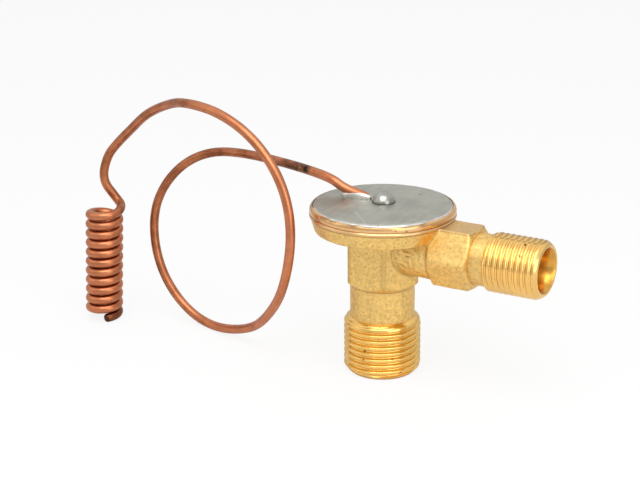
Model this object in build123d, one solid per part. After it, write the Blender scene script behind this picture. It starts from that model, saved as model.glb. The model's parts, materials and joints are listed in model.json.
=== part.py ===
from build123d import *
from math import cos, degrees, radians, sin, sqrt, tan
import os

# Angle-pattern refrigerant expansion valve: a forged brass body with a threaded outlet
# below and a threaded inlet at the side, a diaphragm head crimped into the top flange,
# and a self-supporting capillary tube that ends in a wound sensing coil.
# Millimetres. Origin at the centre of the outlet's end face, +Z up to the head,
# +X along the inlet branch.

# ---- outlet barrel -------------------------------------------------------------------
out_thread_d = 19.05        # 3/4-16 male thread, major diameter
out_lead_r = 1.225          # radial depth of the lead-in chamfer
out_lead = 1.45             # its axial length
out_thread_top = 13.3       # height where the thread stops
out_shoulder = 1.1          # axial length of the shoulder cone above the thread
out_neck_d = 16.0           # plain neck
out_pilot_wall = 2.625      # wall between the thread and the bore that takes the pilot
out_pilot_depth = 8.0
out_mouth_flare = 0.7       # chamfer of the outlet mouth
chamber_wall = 1.8          # wall of the neck round the threaded chamber
roof_drop = 5.7             # how far the chamber's roof lies below the branch axis

# ---- column ----------------------------------------------------------------------------
column_af = 17.55           # hexagon across flats
column_foot = 22.6          # height where the hexagon starts to grow out of the neck
column_foot_rise = 2.3      # height over which it grows
column_edge_r = 0.5         # rounding of its upright edges
flange_under = 36.9         # underside of the head flange

# ---- head flange and crimped lip ---------------------------------------------------------
flange_draft = 1.1          # how far the flange's side leans out, per side
flange_edge_r = 0.6         # rounding of that lower edge
rim_back = 0.05             # how far the flange's sharp upper corner lies inside the lip
rim_h = 3.75                # height of that corner above the underside
lip_wall = 0.55             # thickness of the lip round the cover
lip_h = 5.75                # height of the lip above the underside
lip_flat = 0.4              # width of the lip's turned-in top
diaphragm_floor = 1.3       # thickness of the flange under the diaphragm chamber
clamp_w = 4.4               # width of the ring that clamps the diaphragm

# ---- cover and diaphragm -------------------------------------------------------------------
cover_d = 34.8              # cover under the lip
cover_step = 0.3            # taper of the cover's shoulder under the lip, per side
cover_h = 1.95              # overall height of the cover
cover_proud = 0.35          # how far the cover stands above the lip
cover_skin = 1.0            # thickness of the cover over the charge space
charge_step = 0.5           # how much wider the charge space is than the chamber, per side
diaphragm_t = 0.15
diaphragm_edge_gap = 0.6    # radial gap round the diaphragm's edge
diaphragm_dish = 0.8        # how far the centre hangs below the clamped rim
diaphragm_web = 2.8         # radial width of the convolution
solder_w = 0.45             # width of the solder bead round the cover

# ---- charge plug in the cover --------------------------------------------------------------
plug_at = (-0.5, 1.3)
plug_dome_d = 5.9
plug_dome_h = 2.55
plug_shank_d = 3.0
plug_shank_below = 0.35     # shank left below the cover's skin

# ---- moving stack ---------------------------------------------------------------------------
pad_margin = 0.7            # how far the pad stays inside the diaphragm's flat centre
pad_t = 0.9
pin_d = 1.5
pin_off = 4.6               # distance of each pin from the axis
pin_clear = 0.05            # radial running clearance of the pins
ball_d = 4.76
seat_clear = 0.02           # gap left between the closed ball and its seat
cup_d = 3.8                 # cup that carries the ball
cup_depth = 1.2
carrier_gap = 0.5           # gap round the carrier's flange
carrier_t = 1.3
carrier_af = 8.4            # width over the two flow flats
spigot_d = 5.8
spigot_h = 2.2

# ---- orifice seat ------------------------------------------------------------------------------
seat_wall = 1.55
seat_bore_d = 3.5
seat_h = 4.4
seat_proud = 1.5            # how far the seat stands down into the chamber

# ---- spring, washer and adjusting nut ----------------------------------------------------------
spring_wire_d = 1.0
spring_clear = 0.5          # gap between the spring and the carrier's spigot
spring_turns = 4.5
nut_low = 8.4
nut_h = 3.2
nut_hex_af = 6.0
washer_gap = 0.6            # gap round the washer
washer_bore_d = 6.2
washer_t = 0.6

# ---- inlet branch --------------------------------------------------------------------------------
branch_drop = 3.7           # how far the branch axis lies below the flange's underside
boss_d = 13.6
boss_swell = 0.2            # how much wider the boss is at the hexagon, per side
hex_af = 14.3               # wrench hexagon, 9/16 across flats
hex_start = 15.2
hex_end = 26.3
hex_chamfer = 1.0
hex_foot_d = 13.6           # diameter of the cone that the hexagon starts from
hex_foot_rise = 0.8         # length over which that cone reaches the corners
in_relief_d = 12.6
in_thread_start = 30.0
in_thread_d = 14.29         # 9/16-18 male thread, major diameter
in_lead = 1.6
in_lead_r = 0.945           # radial depth of the lead-in chamfer
branch_end = 43.3
in_mouth_flare = 1.15       # radial width of the coned mouth
in_pilot_wall = 2.795       # wall between the thread and the bore that takes the pilot
in_pilot_depth = 8.6
collar_step = 0.2           # how much narrower the collar's counterbore is, per side
screen_clear = 0.8          # gap round the strainer
screen_bore_end = 13.5      # where the strainer's bore stops
in_passage_d = 4.4

# ---- strainer ---------------------------------------------------------------------------------------
screen_d = 5.6
screen_t = 0.35
screen_cap_t = 0.6
screen_end_gap = 1.6        # gap between the strainer's cap and the end of its bore
screen_slot_w = 0.7
screen_slot_count = 12
collar_t = 1.4

# ---- capillary tube and sensing coil ---------------------------------------------------------------
tube_d = 2.38               # 3/32 tube
coil_mean_d = 7.70
coil_pitch = 2.636
coil_turns = 11.161
coil_foot = (-82.13, -7.49)         # where the coil's axis meets the height of its first turn
coil_lean = (0.0519, 0.0172)        # sideways lean of the coil's axis for each unit of height
coil_start_angle = -39.05           # bearing of the first turn's end, degrees
lead_run = 3.35                     # straight run off the last turn
seal_l = 1.0                        # solder seal in the coil's open end
# Free route from the coil to the head; each run meets the next in a tangent arc.
route = [
    (-81.0, -1.3, 32.6), (-83.8, -3.4, 37.8), (-83.0, -1.6, 44.2), (-80.9, 0.0, 47.2),
    (-74.6, -0.6, 52.7), (-67.9, -3.0, 58.1), (-58.4, -5.1, 62.1), (-51.6, -9.5, 64.0),
    (-40.7, -12.1, 64.0), (-31.2, -13.1, 60.4), (-24.3, -13.8, 55.0), (-18.9, -14.3, 46.9),
    (-16.5, -15.4, 36.8), (-18.3, -15.1, 26.2), (-22.6, -12.2, 17.7), (-28.2, -8.9, 11.3),
    (-34.3, -5.3, 5.7), (-43.5, -2.4, 2.05), (-52.8, 0.0, 0.85), (-60.9, 0.9, 3.75),
    (-68.0, 1.0, 11.7), (-72.1, 2.6, 21.7), (-72.3, 4.9, 32.5), (-65.4, 8.9, 42.7),
    (-53.2, 11.5, 47.1),
]
entry_bend = (-16.4, 0.75)          # plan position of the bend down to the cover
entry_bend_h = 4.9                  # height of that bend above the cover
entry_touch = (-10.6, 1.3)          # plan position where the tube comes to lie on the cover
entry_touch_h = 1.1                 # height of its centre there
entry_end = (-4.9, 1.6)             # plan position of the tube's end
entry_end_h = 0.38                  # height of its centre above the cover there
fillet_l = 9.0                      # length of the solder fillet along the tube
fillet_r = 1.7                      # its greatest radius
fillet_past = 1.0                   # how far it reaches past the tube's end

# ---- sizes that follow --------------------------------------------------------------------------------
branch_z = flange_under - branch_drop
chamber_roof = branch_z - roof_drop
cover_top_d = cover_d - 2 * cover_step
lip_d = cover_d + 2 * lip_wall
rim_d = lip_d - 2 * rim_back
flange_low_d = rim_d - 2 * flange_draft
head_chamber_d = cover_d - 2 * clamp_w
charge_d = head_chamber_d + 2 * charge_step
diaphragm_d = cover_d - 2 * diaphragm_edge_gap
diaphragm_flat_d = head_chamber_d - 2 * diaphragm_web
pad_d = diaphragm_flat_d - 2 * pad_margin
rim_z = flange_under + rim_h
lip_z = flange_under + lip_h
cover_top = lip_z + cover_proud
cover_low = cover_top - cover_h
clamp_z = cover_low - diaphragm_t
head_floor = flange_under + diaphragm_floor
out_end_d = out_thread_d - 2 * out_lead_r
out_pilot_d = out_thread_d - 2 * out_pilot_wall
chamber_d = out_neck_d - 2 * chamber_wall
seat_d = seat_bore_d + 2 * seat_wall
carrier_d = chamber_d - 2 * carrier_gap
washer_d = chamber_d - 2 * washer_gap
spring_mean_d = spigot_d + 2 * spring_clear + spring_wire_d
in_end_d = in_thread_d - 2 * in_lead_r
in_pilot_d = in_thread_d - 2 * in_pilot_wall
in_mouth_d = in_pilot_d + 2 * in_mouth_flare
collar_d = in_pilot_d - 2 * collar_step
screen_bore_d = screen_d + 2 * screen_clear
pad_top = clamp_z - diaphragm_dish
pad_low = pad_top - pad_t
seat_low = chamber_roof - seat_proud
ball_z = seat_low - sqrt((ball_d / 2) ** 2 - (seat_bore_d / 2) ** 2) - seat_clear
carrier_top = ball_z - sqrt((ball_d / 2) ** 2 - (cup_d / 2) ** 2)
carrier_low = carrier_top - carrier_t
washer_low = nut_low + nut_h
spring_low = washer_low + washer_t
collar_end = branch_end - in_pilot_depth
screen_start = collar_end - collar_t


def turned(points, axis=Axis.Z):
    """Solid turned from (radius, height) points; about X the height runs along the branch."""
    if axis == Axis.Z:
        outline = Plane.XZ * Polyline(*points, close=True)
        return revolve(make_face(outline), axis)
    outline = Plane.XZ * Polyline(*[(along, radius) for radius, along in points], close=True)
    return Pos(0, 0, branch_z) * revolve(make_face(outline), Axis.X)


def hex_prism(across_flats, low, high):
    return Pos(0, 0, low) * extrude(
        RegularPolygon(across_flats / 2, 6, major_radius=False), high - low)


# ---- valve body ------------------------------------------------------------------------------------------
def make_body():
    barrel = turned([
        (0, 0), (out_end_d / 2, 0), (out_thread_d / 2, out_lead),
        (out_thread_d / 2, out_thread_top), (out_neck_d / 2, out_thread_top + out_shoulder),
        (out_neck_d / 2, chamber_roof), (0, chamber_roof)])
    corner_r = column_af / sqrt(3) + 0.5
    grow = turned([
        (0, column_foot), (out_neck_d / 2, column_foot),
        (corner_r, column_foot + column_foot_rise), (corner_r, flange_under + 0.5),
        (0, flange_under + 0.5)])
    prism = hex_prism(column_af, column_foot, flange_under + 0.5)
    column = fillet(prism.edges().filter_by(Axis.Z), column_edge_r) & grow
    flange_r, rim_r, lip_r = flange_low_d / 2, rim_d / 2, lip_d / 2
    flange = turned([
        (0, flange_under), (flange_r - flange_edge_r, flange_under),
        (flange_r, flange_under + flange_edge_r), (rim_r, rim_z - 0.15), (rim_r - 0.15, rim_z + 0.2),
        (lip_r - 0.1, rim_z + 0.5), (lip_r, rim_z + 1.0), (lip_r - 0.05, lip_z - 0.55),
        (cover_top_d / 2 + lip_flat, lip_z), (0, lip_z)])
    boss_r = boss_d / 2
    boss = turned([
        (0, 0), (boss_r, 0), (boss_r, column_af / 2 - 2), (boss_r + boss_swell, hex_start + 0.5),
        (0, hex_start + 0.5)], Axis.X)
    hex_r = hex_af / sqrt(3)
    wrench = (Pos(0, 0, branch_z) * Rot(0, 90, 0) * Rot(0, 0, 90)
              * hex_prism(hex_af, hex_start, hex_end))
    wrench &= turned([
        (0, hex_start), (hex_foot_d / 2, hex_start), (hex_r + 0.1, hex_start + hex_foot_rise),
        (hex_r + 0.1, hex_end - hex_chamfer), (in_relief_d / 2 + 0.4, hex_end), (0, hex_end)],
        Axis.X)
    spout = turned([
        (0, hex_end - 1), (in_relief_d / 2, hex_end - 1), (in_relief_d / 2, in_thread_start - 0.5),
        (in_thread_d / 2, in_thread_start), (in_thread_d / 2, branch_end - in_lead),
        (in_end_d / 2, branch_end), (0, branch_end)], Axis.X)
    body = barrel + column + flange + boss + wrench + spout

    pilot_r, chamber_r = out_pilot_d / 2, chamber_d / 2
    body -= turned([
        (0, -1), (pilot_r + out_mouth_flare, -1), (pilot_r + out_mouth_flare, 0),
        (pilot_r, out_mouth_flare), (pilot_r, out_pilot_depth), (chamber_r, out_pilot_depth),
        (chamber_r, chamber_roof), (seat_d / 2, chamber_roof),
        (seat_d / 2, seat_low + seat_h), (in_passage_d / 2, seat_low + seat_h),
        (in_passage_d / 2, branch_z), (0, branch_z)])
    mouth = (in_mouth_d - in_pilot_d) / 2
    body -= turned([
        (0, -in_passage_d / 2), (in_passage_d / 2, -in_passage_d / 2),
        (in_passage_d / 2, screen_bore_end), (screen_bore_d / 2, screen_bore_end),
        (screen_bore_d / 2, screen_start), (collar_d / 2, screen_start),
        (collar_d / 2, collar_end), (in_pilot_d / 2, collar_end),
        (in_pilot_d / 2, branch_end - mouth * 1.6), (in_mouth_d / 2, branch_end),
        (in_mouth_d / 2, branch_end + 1), (0, branch_end + 1)], Axis.X)
    body -= turned([
        (0, head_floor), (head_chamber_d / 2, head_floor), (head_chamber_d / 2, clamp_z),
        (cover_d / 2, clamp_z), (cover_d / 2, lip_z - 0.45), (cover_top_d / 2, lip_z),
        (cover_top_d / 2, lip_z + 1), (0, lip_z + 1)])
    for y in (-pin_off, pin_off):
        body -= Pos(0, y, chamber_roof - 1) * extrude(
            Circle(pin_d / 2 + pin_clear), head_floor - chamber_roof + 2)
    return body


# ---- capillary tube with its sensing coil -------------------------------------------------------------------
def make_tube():
    lean = Vector(coil_lean[0], coil_lean[1], 1).normalized()
    bearing = Vector(cos(radians(coil_start_angle)), sin(radians(coil_start_angle)), 0)
    radial = (bearing - lean * bearing.dot(lean)).normalized()
    first_z = tube_d / 2 - radial.Z * coil_mean_d / 2
    seat = Plane(origin=(coil_foot[0], coil_foot[1], first_z), x_dir=radial, z_dir=lean)
    winding = seat * Helix(coil_pitch, coil_pitch * coil_turns, coil_mean_d / 2)
    start = Plane(origin=winding @ 0, x_dir=radial, z_dir=winding % 0)
    coil = sweep(start * Circle(tube_d / 2), path=winding, is_frenet=True)

    lead = winding @ 1 + (winding % 1) * lead_run
    points = ([winding @ 1, lead] + [Vector(*p) for p in route]
              + [Vector(*entry_bend, cover_top + entry_bend_h),
                 Vector(*entry_touch, cover_top + entry_touch_h),
                 Vector(*entry_end, cover_top + entry_end_h)])
    radii = []
    for before, here, after in zip(points, points[1:], points[2:]):
        turn = radians(180 - (before - here).get_angle(after - here))
        radii.append(0.45 * min((before - here).length, (after - here).length) / tan(turn / 2))
    line = FilletPolyline(*points, radius=radii)
    head = Plane(origin=line @ 0, z_dir=line % 0)
    run = sweep(head * Circle(tube_d / 2), path=line)
    print("tube radii", [round(r, 1) for r in radii])
    print("route length", round(line.length, 1), "volume ratio",
          round(run.volume / (line.length * 3.14159 * tube_d ** 2 / 4), 4),
          "coil ratio", round(coil.volume / (winding.length * 3.14159 * tube_d ** 2 / 4), 4))
    return coil, run, winding, line


def export(name, shape):
    solids = shape.solids()
    print(name, len(solids), round(shape.volume, 2))
    export_step(shape if len(solids) > 1 else solids[0], f"parts/{name}.step")


os.makedirs("parts", exist_ok=True)
body = make_body()
coil, run, winding, line = make_tube()
tube = coil + run

# solder plug that closes the coil's open end
coil_seal = Plane(origin=winding @ 0, z_dir=-(winding % 0)) * (
    Pos(0, 0, 0) * turned([(0, 0), (tube_d / 2, 0), (tube_d / 2 * 0.9, seal_l * 0.45),
                           (tube_d / 2 * 0.55, seal_l * 0.85), (0, seal_l)]))

# cover plate: flat top, tapered shoulder under the lip, charge space below its skin
cover_r, top_r = cover_d / 2, cover_top_d / 2
cover = turned([
    (0, cover_top), (top_r - 0.15, cover_top), (top_r, cover_top - 0.15), (top_r, lip_z),
    (cover_r, lip_z - 0.45), (cover_r, cover_low), (charge_d / 2, cover_low),
    (charge_d / 2 - 0.6, cover_top - cover_skin), (0, cover_top - cover_skin)])
plug_axis = Pos(plug_at[0], plug_at[1], 0)
cover -= plug_axis * Pos(0, 0, cover_top - cover_h) * extrude(Circle(plug_shank_d / 2), 2 * cover_h)
cover -= run

# domed plug in the charging hole
dome_r, cap_r = plug_dome_d / 2, plug_shank_d / 2
ball_r = (dome_r ** 2 + plug_dome_h ** 2) / (2 * plug_dome_h)
plug = (Pos(0, 0, cover_top + plug_dome_h - ball_r) * Sphere(ball_r)
        & Pos(0, 0, cover_top) * extrude(Circle(2 * dome_r), 2 * plug_dome_h))
plug += Pos(0, 0, cover_top - cover_skin - plug_shank_below) * extrude(
    Circle(cap_r), cover_skin + plug_shank_below)
plug = plug_axis * plug

# solder: bead round the cover, and the fillet that beds the tube on the cover
rim_solder = turned([(top_r, lip_z), (top_r + solder_w * 0.85, lip_z),
                     (top_r + 0.12, cover_top - 0.12), (top_r, cover_top - 0.1)])
end = Vector(*entry_end, cover_top)
away = (Vector(*entry_touch, cover_top) - end).normalized()
fillet_line = Plane(origin=end - away * fillet_past, x_dir=(0, 0, 1), z_dir=away)
spindle = turned([(0, 0), (fillet_r * 0.7, fillet_l * 0.08), (fillet_r * 0.92, fillet_l * 0.18),
                  (fillet_r, fillet_l * 0.4), (fillet_r * 0.85, fillet_l * 0.65),
                  (fillet_r * 0.45, fillet_l * 0.88), (0, fillet_l)])
tube_solder = fillet_line * spindle
tube_solder &= Pos(0, 0, cover_top) * extrude(Circle(cover_d), 2 * fillet_r)
tube_solder -= run
tube_solder -= plug_axis * Pos(0, 0, cover_top) * extrude(Circle(dome_r + 0.05), 5)
tube_solder = max(tube_solder.solids(), key=lambda s: s.volume)

# diaphragm: clamped rim, one convolution, flat centre
rim_in, flat_r = head_chamber_d / 2 - 0.4, diaphragm_flat_d / 2
low, top = clamp_z - diaphragm_dish, clamp_z
mid_r = (rim_in + flat_r) / 2
upper = [(diaphragm_d / 2, top), (rim_in, top), (mid_r + 0.5, top - diaphragm_dish * 0.35),
         (mid_r - 0.5, top - diaphragm_dish * 0.65), (flat_r, low), (0, low)]
diaphragm = turned([(r, z + diaphragm_t) for r, z in upper] + upper[::-1])

# pad under the diaphragm with its two pins
pad = turned([(0, pad_low), (pad_d / 2 - 0.4, pad_low), (pad_d / 2, pad_low + 0.4),
              (pad_d / 2, pad_top - 0.2), (pad_d / 2 - 0.2, pad_top), (0, pad_top)])
pins = [Pos(0, y, carrier_top) * extrude(Circle(pin_d / 2), pad_low - carrier_top)
        for y in (-pin_off, pin_off)]

# orifice seat, ball and ball carrier
seat = turned([(seat_bore_d / 2, seat_low), (seat_d / 2 - 0.3, seat_low),
               (seat_d / 2, seat_low + 0.3), (seat_d / 2, seat_low + seat_h),
               (seat_bore_d / 2, seat_low + seat_h)])
ball = Pos(0, 0, ball_z) * Sphere(ball_d / 2)
carrier = turned([
    (0, carrier_low - spigot_h), (spigot_d / 2 - 0.3, carrier_low - spigot_h),
    (spigot_d / 2, carrier_low - spigot_h + 0.3), (spigot_d / 2, carrier_low),
    (carrier_d / 2, carrier_low), (carrier_d / 2, carrier_top), (cup_d / 2, carrier_top),
    (cup_d / 2, carrier_top - cup_depth), (0, carrier_top - cup_depth)])
carrier &= Pos(0, 0, carrier_low) * Box(carrier_af, 2 * carrier_d, 4 * (carrier_t + spigot_h))

# spring between the washer and the carrier
spring_l = carrier_low - spring_low - spring_wire_d
spring_path = Pos(0, 0, spring_low + spring_wire_d / 2) * Helix(
    spring_l / spring_turns, spring_l, spring_mean_d / 2)
spring = sweep(Plane(origin=spring_path @ 0, z_dir=spring_path % 0) * Circle(spring_wire_d / 2),
               path=spring_path, is_frenet=True)
washer = turned([(washer_bore_d / 2, washer_low), (washer_d / 2, washer_low),
                 (washer_d / 2, spring_low), (washer_bore_d / 2, spring_low)])
nut = turned([(0, nut_low), (chamber_d / 2 - 0.4, nut_low), (chamber_d / 2, nut_low + 0.4),
              (chamber_d / 2, washer_low), (0, washer_low)])
nut -= hex_prism(nut_hex_af, nut_low - 1, washer_low + 1)

# strainer: pressed collar, slotted sleeve and end cap
screen_cap = screen_bore_end + screen_end_gap
screen = turned([
    (screen_d / 2 - screen_t, screen_cap + screen_cap_t), (screen_d / 2, screen_cap + screen_cap_t),
    (screen_d / 2, collar_end), (screen_d / 2 - screen_t, collar_end)], Axis.X)
slot_l = (screen_start - screen_cap - screen_cap_t) / 3 - 1.2
for row in range(3):
    slot_x = screen_cap + screen_cap_t + 1.0 + row * (slot_l + 1.2)
    for k in range(screen_slot_count // 2):
        angle = 360 / screen_slot_count * (k + 0.5)
        screen -= (Pos(slot_x + slot_l / 2, 0, branch_z) * Rot(angle, 0, 0)
                   * Box(slot_l, screen_slot_w, screen_d + 1))
collar = turned([
    (screen_d / 2, screen_start), (collar_d / 2, screen_start), (collar_d / 2, collar_end - 0.3),
    (collar_d / 2 - 0.3, collar_end), (screen_d / 2, collar_end)], Axis.X)
cap = turned([(0, screen_cap), (screen_d / 2 - 0.3, screen_cap),
              (screen_d / 2, screen_cap + 0.3), (screen_d / 2, screen_cap + screen_cap_t),
              (0, screen_cap + screen_cap_t)], Axis.X)

for name, shape in {
    "valve_body": body, "head_cover": cover, "rim_solder": rim_solder, "charge_plug": plug,
    "tube_solder": tube_solder, "capillary_tube": tube, "coil_end_seal": coil_seal,
    "diaphragm": diaphragm, "diaphragm_pad": pad, "push_pin_1": pins[0],
    "push_pin_2": pins[1], "orifice_seat": seat, "valve_ball": ball,
    "ball_carrier": carrier, "superheat_spring": spring, "spring_washer": washer,
    "adjusting_nut": nut, "strainer_screen": screen, "strainer_collar": collar,
    "strainer_cap": cap,
}.items():
    export(name, shape)
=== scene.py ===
"""Looks of a refrigerant expansion valve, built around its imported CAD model.

Shapes are worked out in millimetres in the model's own axes: origin at the centre of the outlet's end
face, +Z up to the head, +X along the inlet branch. They go into the meshes in metres.
"""

import json
from math import atan, cos, pi, radians, sin

import bmesh
import bpy
import numpy as np
from mathutils import Matrix


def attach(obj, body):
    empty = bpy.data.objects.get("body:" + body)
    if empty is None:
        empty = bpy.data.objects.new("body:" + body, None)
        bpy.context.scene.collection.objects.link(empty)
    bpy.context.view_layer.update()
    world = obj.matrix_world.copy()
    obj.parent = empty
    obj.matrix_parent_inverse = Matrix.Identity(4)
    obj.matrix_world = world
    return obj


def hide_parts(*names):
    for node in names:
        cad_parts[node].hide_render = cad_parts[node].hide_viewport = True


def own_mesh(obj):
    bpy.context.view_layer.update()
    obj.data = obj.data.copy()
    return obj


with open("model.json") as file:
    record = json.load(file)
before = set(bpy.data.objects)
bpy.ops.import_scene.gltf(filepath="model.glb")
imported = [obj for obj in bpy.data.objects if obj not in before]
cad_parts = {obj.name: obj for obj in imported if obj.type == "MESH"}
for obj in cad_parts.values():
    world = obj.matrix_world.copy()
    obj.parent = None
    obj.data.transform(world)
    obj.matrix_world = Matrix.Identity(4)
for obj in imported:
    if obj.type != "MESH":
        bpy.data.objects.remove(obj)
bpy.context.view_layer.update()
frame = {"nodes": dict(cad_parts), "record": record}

bl_info = {
    "name": "Expansion valve looks",
    "version": (1, 0, 0),
    "blender": (4, 5, 0),
    "location": "View3D > Sidebar > Valve",
    "description": "Forged brass body, soldered head, copper tube and finishes of an expansion valve",
    "category": "Object",
}

MM = 0.001

# ---- sizes of the brass body, millimetres --------------------------------------------------------
OUT_THREAD_R = 9.525
OUT_PITCH = 25.4 / 16
OUT_END_R = 8.3
OUT_LEAD = 1.45
OUT_THREAD_TOP = 13.3
OUT_SHOULDER_TOP = 14.4
OUT_MOUTH_R = 7.6
OUT_MOUTH_DEPTH = 0.7
OUT_PILOT_R = 6.9
OUT_PILOT_DEPTH = 8.0
CHAMBER_R = 6.2
CHAMBER_ROOF = 27.5
SEAT_R = 3.3
SEAT_TOP = 30.4
PASSAGE_R = 2.2
NECK_R = 8.0
NECK_START, NECK_END = 12.5, 26.0       # its ends lie inside the barrel and the column
COLUMN_AF = 17.15
COLUMN_END = 39.0                       # inside the flange
FOOT_Z = 22.6
FOOT_SLOPE = 1.144
FLANGE_Z = 36.6
FLANGE_SIDE_R = 16.95
FLANGE_SIDE_Z = 37.5
FLANGE_DRAFT = 0.306
FLANGE_TOP = 40.1
HEAD_FLOOR = 38.2
HEAD_SPACE_R = 13.0
HEAD_STEP_Z = 40.9
LIP_Z = 42.65
LIP_GROOVE_Z, FLANGE_CREASE_Z = 40.93, 40.03
BRANCH_Z = 33.2
BOSS_R = 6.8
BOSS_SWELL = 0.2
BOSS_SWELL_START = 6.8
BOSS_START, BOSS_END = 2.0, 15.7        # inside the column and the wrench hexagon
WRENCH_AF = 14.3
WRENCH_START = 15.2
WRENCH_FOOT_R = 6.8
WRENCH_FOOT_SLOPE = 1.95
WRENCH_END = 26.0
WRENCH_END_R = 6.7
WRENCH_END_SLOPE = 1.656
WRENCH_CORNER_R = 8.25
RELIEF_R = 6.3
IN_THREAD_START = 30.0
IN_THREAD_R = 7.145
IN_PITCH = 25.4 / 18
IN_END_R = 6.2
IN_LEAD = 1.6
IN_DEPTH_SHARE = 0.64                   # of the outlet thread's depth
SCREEN_BORE_R = 3.6
SCREEN_BORE_START = 13.5
COLLAR_BORE_R = 4.15
COLLAR_BORE_START = 33.3
IN_PILOT_R = 4.35
IN_PILOT_START = 34.7
IN_MOUTH_DEPTH = 1.84
SPOUT_START = 25.6                      # inside the wrench hexagon
BRANCH_END = 43.3

# ---- stains of the body, and a painted orange reflection ---------------------------------------
LIP_STAINS = (                          # bearing and width, degrees
    (-165, 4), (-150, 6), (-113, 5), (-104, 3), (-84, 4), (-42, 6), (-30, 3))
# painted reflection: centre and reach of orange brass mirrored in the corner of flange and wrench hexagon
CORNER_REFLECTION_AT, CORNER_REFLECTION_REACH = (15.2, -6.8, 38.2), (2.6, 2.2, 1.9)

# ---- sizes of the head, millimetres --------------------------------------------------------------
COVER_TOP = 43.0
COVER_TOP_R = 17.1
COVER_R = 17.4
COVER_LOW = 41.05
COVER_SHOULDER_Z = 42.2
CHARGE_R = 13.5
COVER_SKIN = 1.0
BEAD_R = 16.75
PLUG_AT = (-0.5, 1.3)
PLUG_R = 2.95
PLUG_H = 2.55
PLUG_SHANK_R = 1.5
PLUG_SHANK_LOW = 41.65
FILLET_PAST = 0.9                       # how far the solder reaches past the tube's end
FILLET_RUN = 8.2
FILLET_HALF_WIDTH = 1.12
FILLET_SPREAD = 0.42                    # wider by this at the far end
FILLET_HEIGHT = 1.50
SCRATCH = ((-3.5, -8.3), (4.5, -16.2))  # ends of the scratch on the cover
SCRATCH_WIDTH = 0.45

# ---- capillary tube and sensing coil, millimetres ------------------------------------------------
TUBE_R = 1.19
TUBE_SIDES = 20
COIL_R = 3.85
COIL_PITCH = 2.636
COIL_TURNS = 11.161
COIL_STEPS = 48                         # points to a turn
COIL_FOOT = (-82.13, -7.49)
COIL_LEAN = (0.0519, 0.0172)
COIL_START = radians(-39.05)
LEAD_RUN = 3.35
ROUTE = [
    (-81.0, -1.3, 32.6), (-83.8, -3.4, 37.8), (-83.0, -1.6, 44.2), (-80.9, 0.0, 47.2),
    (-74.6, -0.6, 52.7), (-67.9, -3.0, 58.1), (-58.4, -5.1, 62.1), (-51.6, -9.5, 64.0),
    (-40.7, -12.1, 64.0), (-31.2, -13.1, 60.4), (-24.3, -13.8, 55.0), (-18.9, -14.3, 46.9),
    (-16.5, -15.4, 36.8), (-18.3, -15.1, 26.2), (-22.6, -12.2, 17.7), (-28.2, -8.9, 11.3),
    (-34.3, -5.3, 5.7), (-43.5, -2.4, 2.05), (-52.8, 0.0, 0.85), (-60.9, 0.9, 3.75),
    (-68.0, 1.0, 11.7), (-72.1, 2.6, 21.7), (-72.3, 4.9, 32.5), (-65.4, 8.9, 42.7),
    (-53.2, 11.5, 47.1), (-16.4, 0.75, 47.9), (-10.6, 1.3, 44.1), (-4.9, 1.6, 43.38),
]

# ---- camera --------------------------------------------------------------------------------------
CAMERA_AT = (173.25, -318.22, 155.67)
CAMERA_AZIMUTH = radians(30.97)
CAMERA_ELEVATION = radians(18.62)
CAMERA_ROLL = radians(-0.48)
FOCAL_PIXELS = 1563.0
SHIFT_PIXELS = -0.5
IMAGE_WIDTH = 640
SENSOR_WIDTH = 36.0

# ---- lamps: name, place and width in millimetres, share of the overhead power --------------------
LAMPS = (
    ("overhead", (80, -200, 400), 380, 1.0),
    ("left_fill", (-420, -260, 220), 300, 0.13),
    ("right_fill", (420, -200, 180), 300, 0.44),
)
LAMP_TARGET = (0, 0, 20)
FLOOR_Z = -0.05
FLOOR_SIZE = 3000.0
FLOOR_WHITE = 0.86                      # share of plain white the camera sees in the floor
SKY_PLAIN = 0.6                         # strength of the surround as a light
SKY_LOW, SKY_RISE = 0.68, 0.42          # what polished metal mirrors of it, low and overhead

# ---- fixed finish colours ------------------------------------------------------------------------
# painted reflection: the orange of brass mirrored in brass, under the flange
REFLECTED_ORANGE_BRASS = (0.86, 0.42, 0.055, 1)
# painted reflection: the wrench hexagon's top flat darker and browner
TOP_FLAT_REFLECTION_BRASS = (0.58, 0.385, 0.20, 1)
# painted shade: a darker, deeper orange copy of the brass for inside the bores
SHADED_BORE_BRASS = (0.70, 0.36, 0.07)
TURNED_SPECK = (0.34, 0.16, 0.03, 1)
# the lip's stains, and painted shade in its groove and crease
TURNED_STAIN_AND_SHADE = (0.20, 0.11, 0.045, 1)
COVER_SPECK = (0.15, 0.14, 0.11, 1)
PLUG_STEEL = (0.42, 0.42, 0.38)
SOOT = (0.03, 0.022, 0.017, 1)


# ---- meshes --------------------------------------------------------------------------------------
def mesh_object(name, points, faces):
    """Object from points in millimetres and faces of point numbers, placed in its mesh."""
    mesh = bpy.data.meshes.new(name)
    mesh.from_pydata((np.asarray(points) * MM).tolist(), [], [list(map(int, f)) for f in faces])
    mesh.update()
    return linked(name, mesh)


def linked(name, data):
    """New object in the scene with the given mesh, lamp or camera data."""
    obj = bpy.data.objects.new(name, data)
    bpy.context.scene.collection.objects.link(obj)
    return obj


def points_of(obj):
    """The mesh's points in millimetres, one to a row."""
    flat = np.zeros(len(obj.data.vertices) * 3)
    obj.data.vertices.foreach_get("co", flat)
    return flat.reshape(-1, 3) / MM


def point_mask(obj, name, values):
    """Number at each point of the mesh, for a material to read."""
    mask = obj.data.attributes.new(name, "FLOAT", "POINT")
    mask.data.foreach_set("value", np.asarray(values, np.float32))


def ring_quads(rows, columns, closed_rows=False):
    """Quads of a grid whose columns close on themselves, and its rows too if asked."""
    last = rows if closed_rows else rows - 1
    i, j = np.meshgrid(np.arange(last), np.arange(columns), indexing="ij")
    i, j = i.ravel(), j.ravel()
    up, across = (i + 1) % rows, (j + 1) % columns
    return np.stack([i * columns + j, i * columns + across, up * columns + across, up * columns + j], 1)


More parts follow.
